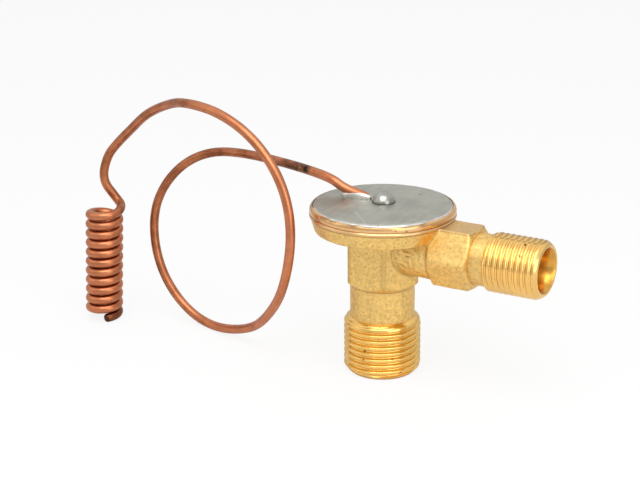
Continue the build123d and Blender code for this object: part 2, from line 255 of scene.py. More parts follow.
def lathe(name, profile, count, axis="Z"):
    """Closed profile turned about an axis: point (r, s) goes to (r cos a, r sin a, s).

    About X the length runs along the branch, at its height.
    """
    outline = np.asarray(profile, float)
    angle = np.arange(count) * 2 * pi / count
    r = np.repeat(outline[:, :1], count, 1)
    s = np.repeat(outline[:, 1:], count, 1)
    u, v = r * np.cos(angle), r * np.sin(angle)
    if axis == "Z":
        points = np.stack([u, v, s], -1)
    else:
        points = np.stack([s, u, BRANCH_Z + v], -1)
    obj = mesh_object(name, points.reshape(-1, 3), ring_quads(len(outline), count, True))
    return outward(obj)


def outward(obj):
    """Merges doubled points, dissolves empty faces and turns every face outwards."""
    form = bmesh.new()
    form.from_mesh(obj.data)
    bmesh.ops.remove_doubles(form, verts=form.verts, dist=1e-7)
    bmesh.ops.dissolve_degenerate(form, edges=form.edges, dist=1e-7)
    bmesh.ops.recalc_face_normals(form, faces=form.faces)
    form.to_mesh(obj.data)
    form.free()
    return obj


def settle(obj):
    """Puts what the modifiers make into the object's own mesh."""
    graph = bpy.context.evaluated_depsgraph_get()
    made = bpy.data.meshes.new_from_object(obj.evaluated_get(graph))
    obj.modifiers.clear()
    old, obj.data = obj.data, made
    bpy.data.meshes.remove(old)
    return obj


def combine(obj, others, operation):
    """Adds solids to obj, or cuts them out of it, and removes them."""
    for other in others:
        step = obj.modifiers.new(operation.lower(), "BOOLEAN")
        step.object = other
        step.operation = operation
        step.solver = "MANIFOLD"
        settle(obj)
        bpy.data.objects.remove(other)
    return obj


def smooth(obj, sharp_angle):
    """Smooth shading, with edges above the angle kept sharp."""
    obj.data.shade_smooth()
    obj.data.set_sharp_from_angle(angle=radians(sharp_angle))
    return obj


def copy_of_node(name, node):
    """Merged copy of a CAD node, shown in the node's place."""
    obj = linked(name, frame["nodes"][node].data.copy())
    obj.data.materials.clear()
    outward(obj)
    smooth(obj, 32)
    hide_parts(node)
    return obj


def dressed(obj, body, slot, *materials):
    """Gives a finished piece its materials and body. Its slot argument is not used."""
    obj.data.materials.clear()
    for material in materials:
        obj.data.materials.append(material)
    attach(obj, body)
    return obj


# ---- the forged blank ----------------------------------------------------------------------------
def bell(distance, width):
    """Bell curve: one at distance nought, 0.37 at the width."""
    return np.exp(-(distance / width) ** 2)


def soft_max(a, b, width):
    """Larger of a and b, with a parabola of the given width where they are nearly equal."""
    near = np.clip(width - np.abs(a - b), 0, None) / width
    return np.maximum(a, b) + near * near * width / 4


def soft_min(a, b, width):
    """Smaller of a and b, rounded like soft_max."""
    return -soft_max(-a, -b, width)


def hexagon(u, v, across_flats, edge):
    """Distance out of a hexagon with corners on u: the greatest of its three flat directions."""
    flats = [np.abs(u * cos(radians(a)) + v * sin(radians(a))) - across_flats / 2 for a in (30, 90, 150)]
    return soft_max(soft_max(flats[0], flats[1], edge), flats[2], edge)


def forged_solids(p):
    """Distances out of the blank's neck, column, flange, boss and wrench hexagon.

    Each is a soft maximum of planes, cones and cylinders: the column is a hexagon cut by its foot
    cone, the flange a drafted disc, and the wrench hexagon has a cone at each end.
    """
    x, y, z = p.T
    r = np.hypot(x, y)
    neck = np.maximum(soft_max(r - NECK_R, NECK_START - z, 0.2), z - NECK_END)
    foot = (r - NECK_R - (z - FOOT_Z) * FOOT_SLOPE) * cos(atan(FOOT_SLOPE))
    column = np.maximum(soft_max(hexagon(x, y, COLUMN_AF, 0.4), foot, 0.3), z - COLUMN_END)
    flange = (r - FLANGE_SIDE_R - (z - FLANGE_SIDE_Z) * FLANGE_DRAFT) * cos(atan(FLANGE_DRAFT))
    flange = np.maximum(soft_max(flange, FLANGE_Z - z, 0.35), z - FLANGE_TOP)
    h = z - BRANCH_Z
    off_axis = np.hypot(y, h)
    swell = BOSS_SWELL * np.clip((x - BOSS_SWELL_START) / (BOSS_END - BOSS_SWELL_START), 0, 1)
    boss = np.maximum(np.maximum(off_axis - BOSS_R - swell, BOSS_START - x), x - BOSS_END)
    left = off_axis - WRENCH_FOOT_R - (x - WRENCH_START) * WRENCH_FOOT_SLOPE
    right = off_axis - WRENCH_END_R - (WRENCH_END - x) * WRENCH_END_SLOPE
    wrench = soft_max(hexagon(y, h, WRENCH_AF, 0.3), left * cos(atan(WRENCH_FOOT_SLOPE)), 0.3)
    wrench = soft_max(wrench, right * cos(atan(WRENCH_END_SLOPE)), 0.25)
    wrench = soft_max(wrench, x - WRENCH_END, 0.15)
    return neck, column, flange, boss, wrench


def forged_field(p):
    """Distance out of the forged blank: its solids joined by soft minima, with the die's marks."""
    neck, column, flange, boss, wrench = forged_solids(p)
    body = soft_min(soft_min(neck, column, 0.10), flange, 0.3)
    branch = soft_min(boss, wrench, 0.15)
    return soft_min(body, branch, 0.8) - forging_marks(*p.T)


def forged_crevices(p):
    """1 in the blank's inner corners and folds, 0 away from them: where the materials paint shade.

    A corner is where two of the solids are equally near. The column's outer edges count a little, with
    painted shade beside them, and so do two lines round the lip, painted shade in its groove and crease.
    """
    x, y, z = p.T
    neck, column, flange, boss, wrench = forged_solids(p)
    pairs = ((neck, column, 0.10), (column, flange, 0.22), (flange, wrench, 0.3), (boss, wrench, 0.12),
             (column, boss, 0.3), (flange, boss, 0.3))
    near = [bell(a - b, width) * bell(np.minimum(a, b), 0.25) for a, b, width in pairs]
    edge = COLUMN_AF / 2 / cos(pi / 6) - np.hypot(x, y)
    # painted shade: a thin dark line just inside the column's outer edges
    darkened = 0.4 * bell(edge - 0.22, 0.16) * np.clip((36 - z) / 4, 0, 1)
    darkened *= (z > FOOT_Z) * (x < 11)
    # painted shade in the lip's groove and the flange's crease
    lines = bell(z - LIP_GROOVE_Z, 0.10) + bell(z - FLANGE_CREASE_Z, 0.09)
    lines *= np.hypot(x, y) > 17.3
    return np.clip(np.max([*near, darkened, lines, forging_folds(x, y, z)], axis=0), 0, 1)


def forging_folds(x, y, z):
    """1 along a few creases where the boss leaves the column."""
    here = 1.6 * bell(x - 9.2, 2.3) * bell(y + 6.0, 2.6) * bell(z - 32.4, 3.2)
    wave = np.sin(1.3 * z + 1.0 * x + 1.6 * np.sin(0.8 * x - 0.9 * z) + 0.6)
    return bell(wave, 0.38) * np.clip(here - 0.15, 0, 1)


def forging_marks(x, y, z):
    """Shallow lumps of the die, with creases in the corner between column and boss."""
    broad = np.sin(1.1 * x + 0.7 * y + 0.3) * np.sin(0.9 * z - 0.5 * y + 1.2) * 0.02
    small = np.sin(3.3 * x + 1.3 * z + 1.1 * y) * np.sin(2.9 * z - 2.1 * x + 1.7 * y)
    corner = bell(x - 9.5, 2.6) * bell(z - 33.0, 4.0)
    return broad + small * (0.010 + 0.06 * corner) - 0.25 * forging_folds(x, y, z)


def onto_field(points, field, steps=6):
    """Moves points along the field's slope until they lie where it is zero."""
    tiny = 0.01
    for _ in range(steps):
        value = field(points)
        slope = np.stack([
            (field(points + tiny * e) - field(points - tiny * e)) / (2 * tiny) for e in np.eye(3)], 1)
        size = np.maximum((slope ** 2).sum(1), 0.25)
        points = points - np.clip(value / size, -0.4, 0.4)[:, None] * slope
    return points


def forged_blank(voxel):
    """Closed skin of the forged blank: rough shells remeshed as one, then moved onto the field."""
    corner = COLUMN_AF / cos(pi / 6) / 2
    flange_foot = FLANGE_SIDE_R - (FLANGE_SIDE_Z - FLANGE_Z) * FLANGE_DRAFT
    flange_top = FLANGE_SIDE_R + (FLANGE_TOP - FLANGE_SIDE_Z) * FLANGE_DRAFT
    rough = [
        lathe("rough_neck", [(0, NECK_START), (NECK_R, NECK_START), (NECK_R, NECK_END), (0, NECK_END)], 96),
        lathe("rough_column", [(0, FOOT_Z), (NECK_R, FOOT_Z), (corner, FOOT_Z + 1.9), (corner, COLUMN_END),
                               (0, COLUMN_END)], 6),
        lathe("rough_flange", [(0, FLANGE_Z), (flange_foot, FLANGE_Z), (flange_top, FLANGE_TOP),
                                (0, FLANGE_TOP)], 144),
        lathe("rough_boss", [(0, BOSS_START), (BOSS_R, BOSS_START), (BOSS_R + BOSS_SWELL, BOSS_END),
                             (0, BOSS_END)], 96, "X"),
        lathe("rough_wrench", [(0, WRENCH_START), (WRENCH_FOOT_R, WRENCH_START),
                               (WRENCH_CORNER_R, WRENCH_START + 0.8), (WRENCH_CORNER_R, WRENCH_END - 0.8),
                               (WRENCH_END_R + 0.3, WRENCH_END), (0, WRENCH_END)], 6, "X"),
    ]
    parts, faces, start = [], [], 0
    for shell in rough:
        parts.append(points_of(shell))
        faces += [[start + k for k in face.vertices] for face in shell.data.polygons]
        start += len(shell.data.vertices)
        bpy.data.objects.remove(shell)
    blank = mesh_object("valve_body_brass", np.concatenate(parts), faces)
    skin = blank.modifiers.new("skin", "REMESH")
    skin.mode = "VOXEL"
    skin.voxel_size = voxel * MM
    settle(blank)
    points = onto_field(points_of(blank), forged_field)
    blank.data.vertices.foreach_set("co", (points * MM).ravel())
    blank.data.update()
    return blank


# ---- turned parts of the body --------------------------------------------------------------------
def thread_profile(phase, major, depth):
    """Radius across one pitch: a flat crest, V flanks eased into a rounded root."""
    from_crest = np.abs((phase % 1.0) * 2 - 1)
    flank = np.clip((from_crest - 0.22) / 0.72, 0, 1)
    return major - depth * (0.5 - 0.5 * np.cos(pi * flank))


def threaded(name, outer, inner, major, pitch, depth, count, axis="Z", steps=14):
    """Closed tube whose outside is a helical thread under the envelope of a plain outer profile.

    The grid's rows follow the helix: row i lies at start + pitch * (i / steps - 1 + turn), clipped to
    the ends, so one profile is carried exactly along the thread. Past a full turn a row meets the row
    one pitch on.
    """
    places = np.array([p[1] for p in outer])
    start, end = places[0], places[-1]
    rows = (int(np.ceil((end - start) / pitch)) + 1) * steps + 1
    i, j = np.meshgrid(np.arange(rows), np.arange(count), indexing="ij")
    s = np.clip(start + pitch * (i / steps - 1 + j / count), start, end)
    r = np.minimum(np.interp(s, places, [p[0] for p in outer]), thread_profile(i / steps, major, depth))
    angle = 2 * pi * j / count
    skin = np.stack([r * np.cos(angle), r * np.sin(angle), s], -1).reshape(-1, 3)
    row, column = i[:-1].ravel(), j[:-1].ravel()
    here, up = row * count + column, (row + 1) * count + column
    wrap, top = column == count - 1, (rows - 1) * count
    across = np.where(wrap, np.minimum((row + steps) * count, top), here + 1)
    across_up = np.where(wrap, np.minimum((row + 1 + steps) * count, top), up + 1)
    bore_r, bore_s = np.array(inner, float).T[:, :, None]
    bore = np.stack([bore_r * np.cos(angle[0]), bore_r * np.sin(angle[0]), bore_s + 0 * angle[0]], -1)
    ring = np.arange(count)
    on = (ring + 1) % count
    bore_first, bore_last = rows * count + ring, (rows + len(inner) - 1) * count + ring
    faces = [
        np.stack([here, across, across_up, up], 1),
        ring_quads(len(inner), count) + rows * count,
        np.stack([top + ring, top + on, bore_first[on], bore_first], 1),
        np.stack([on, ring, bore_last, bore_last[on]], 1),
    ]
    points = np.concatenate([skin, bore.reshape(-1, 3)])
    if axis == "X":
        points = points[:, [2, 0, 1]] + (0, 0, BRANCH_Z)
    return outward(mesh_object(name, points, np.concatenate(faces)))


def outlet_barrel(depth):
    """Threaded outlet with its rounded shoulder, lead-in chamfer and pilot bore."""
    outer = [(OUT_END_R - 0.15, 0), (OUT_END_R, 0.12), (OUT_THREAD_R, OUT_LEAD),
             (OUT_THREAD_R, OUT_THREAD_TOP - 0.45), (9.47, 13.12), (9.34, 13.42), (9.14, 13.72),
             (8.86, 13.97), (8.5, 14.2), (NECK_R, OUT_SHOULDER_TOP), (NECK_R - 0.3, OUT_SHOULDER_TOP + 0.2)]
    inner = [(OUT_PILOT_R + 0.1, OUT_SHOULDER_TOP + 0.2), (OUT_PILOT_R + 0.1, OUT_PILOT_DEPTH),
             (OUT_PILOT_R, OUT_MOUTH_DEPTH), (OUT_MOUTH_R, 0)]
    return threaded("barrel", outer, inner, OUT_THREAD_R, OUT_PITCH, depth, 160)


def inlet_spout(depth):
    """Relief and threaded inlet with its rounded mouth."""
    outer = [(RELIEF_R, SPOUT_START), (RELIEF_R, IN_THREAD_START - 0.55),
             (IN_THREAD_R, IN_THREAD_START), (IN_THREAD_R, BRANCH_END - IN_LEAD), (6.78, BRANCH_END - 0.8),
             (6.3, BRANCH_END - 0.2), (6.1, BRANCH_END - 0.05), (IN_END_R - 0.3, BRANCH_END)]
    inner = [(5.72, BRANCH_END), (5.5, BRANCH_END - 0.12), (5.32, BRANCH_END - 0.45),
             (IN_PILOT_R, BRANCH_END - IN_MOUTH_DEPTH), (IN_PILOT_R, SPOUT_START)]
    return threaded("spout", outer, inner, IN_THREAD_R, IN_PITCH, depth, 144, "X")


def crimped_lip():
    """Bright crest of the flange, the groove over it, and the lip rolled over the cover."""
    outline = [(16.6, 39.9), (17.66, 40.0), (17.84, 40.12), (17.95, 40.3), (17.97, 40.48), (17.9, 40.66),
               (17.78, 40.8), (17.68, 40.92), (17.72, 41.04), (17.84, 41.2), (17.9, 41.45), (17.88, 41.75),
               (17.8, 42.1), (17.66, 42.4), (17.44, 42.64), (17.2, 42.77), (16.95, 42.82), (16.78, 42.78),
               (16.7, 42.6)]
    return lathe("lip", outline, 180)


def lip_stains(p):
    """Scorched patches on the lip's inner edge: bells over the bearing, and over the height."""
    x, y, z = p.T
    bearing = np.degrees(np.arctan2(y, x))
    patches = sum(bell(bearing - at, width) for at, width in LIP_STAINS)
    return patches * bell(z - 42.45, 0.35) * (np.hypot(x, y) > 16.8)


def body_hollows():
    """Bores cut through the body: outlet chamber, inlet bores and the diaphragm chamber."""
    outlet = [(0, -1), (OUT_MOUTH_R, -1), (OUT_MOUTH_R, 0), (OUT_PILOT_R, OUT_MOUTH_DEPTH),
              (OUT_PILOT_R, OUT_PILOT_DEPTH), (CHAMBER_R, OUT_PILOT_DEPTH), (CHAMBER_R, CHAMBER_ROOF),
              (SEAT_R, CHAMBER_ROOF), (SEAT_R, SEAT_TOP), (PASSAGE_R, SEAT_TOP), (PASSAGE_R, BRANCH_Z),
              (0, BRANCH_Z)]
    inlet = [(0, -PASSAGE_R), (PASSAGE_R, -PASSAGE_R), (PASSAGE_R, SCREEN_BORE_START),
             (SCREEN_BORE_R, SCREEN_BORE_START), (SCREEN_BORE_R, COLLAR_BORE_START),
             (COLLAR_BORE_R, COLLAR_BORE_START), (COLLAR_BORE_R, IN_PILOT_START),
             (IN_PILOT_R, IN_PILOT_START), (IN_PILOT_R, BRANCH_END - IN_MOUTH_DEPTH),
             (IN_PILOT_R, BRANCH_END + 1), (0, BRANCH_END + 1)]
    head = [(0, HEAD_FLOOR), (HEAD_SPACE_R, HEAD_FLOOR), (HEAD_SPACE_R, HEAD_STEP_Z),
            (COVER_R, HEAD_STEP_Z), (COVER_R, COVER_SHOULDER_Z), (COVER_TOP_R, LIP_Z),
            (COVER_TOP_R, 44), (0, 44)]
    return [lathe("outlet_bore", outlet, 96), lathe("inlet_bore", inlet, 96, "X"),
            lathe("head_bore", head, 180)]


def body_finish_regions(obj):
    """Material number of each face, and the masks of stains with painted shade in the crevices, of a
    painted orange reflection and of a painted darker reflection on the top flat.

    Numbers: forged 0, outlet 1, inlet 2, lip 3, bores 4. The painted orange reflection is a bell round the
    corner of flange and wrench hexagon.
    """
    count = len(obj.data.polygons)
    centre = np.zeros(count * 3)
    obj.data.polygons.foreach_get("center", centre)
    x, y, z = (centre.reshape(-1, 3) / MM).T
    r, off_axis = np.hypot(x, y), np.hypot(y, z - BRANCH_Z)
    region = np.zeros(count, np.int32)
    region[z < OUT_SHOULDER_TOP + 0.02] = 1
    region[x > 29.4] = 2
    region[(z > FLANGE_TOP - 0.08) & (r > 16.9) & (r < 18.2)] = 3
    region[((off_axis < 5.6) & (x > 7)) | ((r < 7.3) & (z < 30.5) & (x < 7)) & (z > 0.02)] = 4
    obj.data.polygons.foreach_set("material_index", region)
    points = points_of(obj)
    # painted shade in the crevices, folds and lip lines, together with the lip's stains
    point_mask(obj, "stain_and_shade", np.maximum(forged_crevices(points), lip_stains(points)))
    # painted orange reflection in the corner of flange and wrench hexagon
    apart = (points - CORNER_REFLECTION_AT) / CORNER_REFLECTION_REACH
    point_mask(obj, "corner_reflection", np.exp(-(apart ** 2).sum(1)))
    # painted reflection: the top flat of the wrench hexagon made darker and browner
    point_mask(obj, "top_flat_reflection", np.clip((points[:, 2] - 39.9) / 0.4, 0, 1) * (points[:, 0] > 12))
    obj.data.update()


# ---- head pieces ---------------------------------------------------------------------------------
def cover_plate():
    """Steel cover: flat top with a rounded shoulder, and the charge space below its skin."""
    outline = [(0, COVER_TOP), (15.9, COVER_TOP), (16.4, COVER_TOP - 0.04), (16.7, COVER_TOP - 0.14),
               (16.9, COVER_TOP - 0.32), (COVER_TOP_R, 42.5), (COVER_R, COVER_SHOULDER_Z),
               (COVER_R, COVER_LOW), (CHARGE_R, COVER_LOW), (CHARGE_R, COVER_TOP - COVER_SKIN),
               (0, COVER_TOP - COVER_SKIN)]
    return lathe("head_cover_plate", outline, 180)


def rim_bead():
    """Irregular bead of solder between the cover and the lip, broader at the front."""
    turn = np.linspace(0, 2 * pi, 24, endpoint=False)
    around = np.linspace(0, 2 * pi, 360, endpoint=False)[:, None]
    wave = (np.sin(5 * around + 1) + np.sin(11 * around + 2.2) + np.sin(23 * around)) / 3
    front = np.clip(np.cos(around - CAMERA_AZIMUTH + pi / 2), 0, 1) ** 1.5 * (1 + 0.2 * wave)
    size = 0.15 * (1 + 0.6 * wave) + 0.42 * front
    r = BEAD_R + 0.50 * front + size * np.cos(turn)
    z = LIP_Z + 0.05 - 0.06 * front + (0.16 + 0.13 * front + 0.05 * wave) * np.sin(turn)
    points = np.stack([r * np.cos(around), r * np.sin(around), z + 0 * around], -1)
    return outward(mesh_object("rim_solder_bead", points.reshape(-1, 3), ring_quads(360, 24, True)))


def plug_dome():
    """Domed plug: a ball cap that turns out into a thin foot, and its shank."""
    curve_r = (PLUG_R ** 2 + PLUG_H ** 2) / (2 * PLUG_H)
    a = np.linspace(0, np.arcsin(PLUG_R / curve_r), 28)
    cap = np.stack([curve_r * np.sin(a), COVER_TOP + PLUG_H - curve_r + curve_r * np.cos(a)], 1)
    shank = [(PLUG_R, COVER_TOP - 0.02), (PLUG_SHANK_R, COVER_TOP - 0.02), (PLUG_SHANK_R, PLUG_SHANK_LOW),
             (0, PLUG_SHANK_LOW)]
    obj = lathe("charge_plug_dome", np.vstack([cap, shank]), 72)
    # painted shade: the dome darkens towards its foot on the cover
    point_mask(obj, "stain_and_shade", bell(points_of(obj)[:, 2] - COVER_TOP, 0.28))
    obj.data.transform(Matrix.Translation((PLUG_AT[0] * MM, PLUG_AT[1] * MM, 0)))
    return obj


def solder_fillet():
    """Drawn-out drop of solder under the tube: full half ellipses along the tube's plan line.

    Width and height follow a skewed arch, with ripples round the foot. A power of the sine and
    cosine makes each ellipse fuller.
    """
    rows, columns = 60, 40
    end, bend = np.array(ROUTE[-1][:2]), np.array(ROUTE[-2][:2])
    away = (bend - end) / np.linalg.norm(bend - end)
    side = np.array([-away[1], away[0]])
    s = np.linspace(0, 1, rows)[:, None]
    turn = np.linspace(0, 2 * pi, columns, endpoint=False)[None, :]
    arch = np.clip(np.sin(pi * s ** 0.85), 0, None) ** 0.4
    width = (FILLET_HALF_WIDTH + FILLET_SPREAD * s) * arch * (1 + 0.03 * np.sin(9 * s + 3 * turn))
    height = FILLET_HEIGHT * arch * (1 + 0.2 * s)
    out, up = (np.sign(wave) * np.abs(wave) ** 0.7 for wave in (np.cos(turn), np.sin(turn)))
    along = FILLET_RUN * s - FILLET_PAST
    plan = end + away * along[..., None] + side * (0.1 + width * out)[..., None]
    lift = np.where(up > 0, height, 0.15) * up
    points = np.concatenate([plan, (COVER_TOP + lift)[..., None]], -1)
    ends = [list(range(columns)), list(range((rows - 1) * columns, rows * columns))]
    faces = [*ring_quads(rows, columns), *ends]
    return outward(mesh_object("tube_solder_fillet", points.reshape(-1, 3), faces))


# ---- capillary tube ------------------------------------------------------------------------------
def coil_line():
    """Centre line of the wound coil: a helix about a leaning axis, foot + radius + height."""
    lean = np.array([*COIL_LEAN, 1.0])
    lean /= np.linalg.norm(lean)
    bearing = np.array([cos(COIL_START), sin(COIL_START), 0])
    u = bearing - lean * bearing.dot(lean)
    u /= np.linalg.norm(u)
    v = np.cross(lean, u)
    foot = np.array([*COIL_FOOT, TUBE_R - u[2] * COIL_R])
    a = np.linspace(0, COIL_TURNS * 2 * pi, int(COIL_TURNS * COIL_STEPS) + 1)[:, None]
    return foot + COIL_R * (np.cos(a) * u + np.sin(a) * v) + lean * COIL_PITCH * a / (2 * pi)


def bent_line(corners, steps=14):
    """Quadratic B-spline of the corner points: it touches each run at its middle."""
    p = np.asarray(corners, float)
    middles = (p[:-1] + p[1:]) / 2
    starts = np.vstack([p[:1], middles[1:-1]])
    ends = np.vstack([middles[1:-1], p[-1:]])
    t = np.linspace(0, 1, steps, endpoint=False)[None, :, None]
    arcs = (1 - t) ** 2 * starts[:, None] + 2 * t * (1 - t) * p[1:-1][:, None] + t ** 2 * ends[:, None]
    return np.vstack([arcs.reshape(-1, 3), p[-1:]])


def evenly(line, gap):
    """Points at equal steps along a line."""
    length = np.concatenate([[0], np.cumsum(np.linalg.norm(np.diff(line, axis=0), axis=1))])
    at = np.linspace(0, length[-1], int(length[-1] / gap) + 1)
    return np.stack([np.interp(at, length, line[:, k]) for k in range(3)], 1), at


def eased(line, width):
    """Line with its small kinks taken out: twice its moving average less the average of that."""
    weights = np.exp(-np.linspace(-2, 2, 2 * width + 1) ** 2)
    weights /= weights.sum()

    def average(values):
        head = 2 * values[0] - values[width:0:-1]
        tail = 2 * values[-1] - values[-2:-width - 2:-1]
        padded = np.vstack([head, values, tail])
        return np.stack([np.convolve(padded[:, k], weights, "valid") for k in range(3)], 1)

    once = average(line)
    return 2 * once - average(once)


def tube_centre():
    """Whole centre line, from the coil's open end to the cover, and the coil's length on it."""
    coil = coil_line()
    way = coil[-1] - coil[-2]
    way /= np.linalg.norm(way)
    corners = np.vstack([coil[-1], coil[-1] + way * LEAD_RUN, ROUTE])
    line, at = evenly(np.vstack([coil[:-1], bent_line(corners)]), 0.5)
    coil_length = np.linalg.norm(np.diff(coil, axis=0), axis=1).sum()
    share = np.clip((at - coil_length - 14) / 16, 0, 1) * np.clip((at[-1] - at - 16) / 14, 0, 1)
    share = (share * share * (3 - 2 * share))[:, None]
    return line * (1 - share) + eased(line, 22) * share, at, coil_length


def sweep(name, line, at, radius, sides):
    """Circle carried along a line without twist, with UV from distance and angle, closed at its ends."""
    tangent = np.gradient(line, axis=0)
    tangent /= np.linalg.norm(tangent, axis=1)[:, None]
    normal = np.zeros_like(line)
    normal[0] = np.cross(tangent[0], (0, 0, 1))
    for k in range(1, len(line)):
        carried = normal[k - 1] - tangent[k] * normal[k - 1].dot(tangent[k])
        normal[k] = carried / np.linalg.norm(carried)
    binormal = np.cross(tangent, normal)
    turn = np.arange(sides) * 2 * pi / sides
    r = np.broadcast_to(np.asarray(radius, float), at.shape)[:, None, None]
    points = line[:, None] + r * (np.cos(turn)[None, :, None] * normal[:, None]
                                  + np.sin(turn)[None, :, None] * binormal[:, None])
    rows = len(line)
    quads = ring_quads(rows, sides)
    ends = [list(range(sides))[::-1], list(range((rows - 1) * sides, rows * sides))]
    obj = mesh_object(name, points.reshape(-1, 3), [*quads, *ends])
    cell = np.arange(len(quads))
    row, column = cell // sides, cell % sides
    corner_u = np.stack([at[row], at[row], at[row + 1], at[row + 1]], 1) / 10
    corner_v = np.stack([column, column + 1, column + 1, column], 1) / sides
    flat = np.zeros((sum(len(f.vertices) for f in obj.data.polygons), 2))
    flat[:len(quads) * 4] = np.stack([corner_u.ravel(), corner_v.ravel()], 1)
    obj.data.uv_layers.new(name="UVMap").data.foreach_set("uv", flat.ravel())
    return obj


def formed_tube():
    """Copper tube: coil, lead and loop, with masks of soot, age and the stub's painted shade along its
    length.

    Its radius ripples a little and shrinks by up to 30 % in the last 3 mm, where it is pressed flat.
    """
    line, at, coil_length = tube_centre()
    to_head = at[-1] - at
    swell = 1 + 0.006 * np.sin(at / 2.3) * np.sin(at / 7.1)
    pressed = 1 - 0.30 * np.clip(1 - to_head / 3.0, 0, 1) ** 2
    obj = sweep("capillary_tube_copper", line, at, TUBE_R * swell * pressed, TUBE_SIDES)
    soot = bell(to_head - 20, 5) + 0.7 * bell(to_head - 29, 5)
    age = np.clip((to_head - 22) / 10, 0, 1) * np.clip((150 - to_head) / 90, 0, 1)
    age += np.clip((to_head - 205) / 30, 0, 1) * np.clip((at - coil_length + 8) / 10, 0, 1) * 0.8
    # painted shade: the coil's open stub end, low under the coil, is darkened
    stub_shade = np.clip((12 - at) / 5, 0, 1)
    for label, values in (("soot", np.clip(soot, 0, 1)), ("age", age), ("stub_shade", stub_shade)):
        point_mask(obj, label, np.repeat(values, TUBE_SIDES))
    return obj


# ---- node tools for materials --------------------------------------------------------------------
def node(tree, kind, place, values=(), **settings):
    """New node with settings and input values, and links for inputs that are sockets."""
    made = tree.nodes.new(kind)
    made.location = (place[0] * 200, place[1] * 160)
    for key, value in settings.items():
        setattr(made, key, value)
    for key, value in dict(values).items():
        if isinstance(value, bpy.types.NodeSocket):
            tree.links.new(value, made.inputs[key])
        else:
            made.inputs[key].default_value = value
    return made


def ramp(tree, place, value, stops):
    """Colour ramp through (position, colour) stops."""
    made = node(tree, "ShaderNodeValToRGB", place, {"Fac": value})
    elements = made.color_ramp.elements
    while len(elements) < len(stops):
        elements.new(0.5)
    for element, (position, colour) in zip(elements, stops):
        element.position = position
        element.color = colour if len(colour) == 4 else (*colour, 1)
    return made.outputs["Color"]


def mix(tree, place, factor, a, b):
    """Colour between a and b."""
    return node(tree, "ShaderNodeMix", place, {0: factor, 6: a, 7: b}, data_type="RGBA").outputs[2]


def maths(tree, place, operation, a, b=0.0, clamp=False):
    """Result of one sum on two values."""
    made = node(tree, "ShaderNodeMath", place, {0: a, 1: b}, operation=operation, use_clamp=clamp)
    return made.outputs[0]


def group(name, inputs, outputs):
    """Shader node group with named sockets: inputs (name, kind, default), outputs (name, kind)."""
    tree = bpy.data.node_groups.new(name, "ShaderNodeTree")
    for label, kind, default in inputs:
        socket = tree.interface.new_socket(name=label, in_out="INPUT", socket_type=kind)
        socket.default_value = default
    for label, kind in outputs:
        tree.interface.new_socket(name=label, in_out="OUTPUT", socket_type=kind)
    return tree, tree.nodes.new("NodeGroupInput").outputs, tree.nodes.new("NodeGroupOutput").inputs


FLOAT = "NodeSocketFloat"


def speckle_group():
    """Round dark specks of mixed size, a soft mottling and a fine grain, on Object coordinates.

    A speck is a cell's core, as large as the fourth power of the cell's random red.
    """
    tree, given, out = group(
        "metal_speckle",
        [("Speck Scale", FLOAT, 1100.0), ("Speck Size", FLOAT, 0.45), ("Mottle Scale", FLOAT, 160.0),
         ("Grain Scale", FLOAT, 2200.0)],
        [("Specks", FLOAT), ("Mottle", FLOAT), ("Grain", FLOAT), ("Height", FLOAT)])
    where = node(tree, "ShaderNodeTexCoord", (-5, 0)).outputs["Object"]
    cells = node(tree, "ShaderNodeTexVoronoi", (-4, 2), {"Vector": where, "Scale": given["Speck Scale"]})
    chance = node(tree, "ShaderNodeSeparateColor", (-3, 2), {0: cells.outputs["Color"]}).outputs["Red"]
    mottle = node(tree, "ShaderNodeTexNoise", (-4, -1), {
        "Vector": where, "Scale": given["Mottle Scale"], "Detail": 5.0, "Roughness": 0.62}).outputs["Fac"]
    grain = node(tree, "ShaderNodeTexNoise", (-4, -2), {
        "Vector": where, "Scale": given["Grain Scale"], "Detail": 3.0, "Roughness": 0.6}).outputs["Fac"]
    size = maths(tree, (-2, 2), "MULTIPLY", maths(tree, (-3, 1), "POWER", chance, 4.0), given["Speck Size"])
    crowd = maths(tree, (-2, 0), "MULTIPLY", size, maths(tree, (-3, 0), "MULTIPLY", mottle, 2.0))
    core = maths(tree, (-1, 2), "SUBTRACT", crowd, cells.outputs["Distance"])
    specks = maths(tree, (0, 2), "MULTIPLY", core, 9.0, clamp=True)
    height = maths(tree, (0, -1), "SUBTRACT", grain, maths(tree, (-1, 0), "MULTIPLY", specks, 0.5))
    for label, value in (("Specks", specks), ("Mottle", mottle), ("Grain", grain), ("Height", height)):
        tree.links.new(value, out[label])
    return tree


def streak_group():
    """Fine lines: noise on multiplied coordinates, so that it varies quickly across the lines only."""
    tree, given, out = group(
        "tool_lines", [("Across", "NodeSocketVector", (40.0, 40.0, 4000.0))], [("Lines", FLOAT)])
    where = node(tree, "ShaderNodeTexCoord", (-4, 0)).outputs["Object"]
    stretched = node(
        tree, "ShaderNodeVectorMath", (-3, 0), {0: where, 1: given["Across"]}, operation="MULTIPLY")
    lines = node(tree, "ShaderNodeTexNoise", (-2, 0), {
        "Vector": stretched.outputs[0], "Scale": 1.0, "Detail": 3.0, "Roughness": 0.6})
    tree.links.new(lines.outputs["Fac"], out["Lines"])
    return tree


def use_group(tree, name, place, values):
    """Outputs of a node group placed in the tree."""
    made = tree.nodes.new("ShaderNodeGroup")
    made.node_tree = bpy.data.node_groups[name]
    made.location = (place[0] * 200, place[1] * 160)
    for key, value in dict(values).items():
        made.inputs[key].default_value = value
    return made.outputs


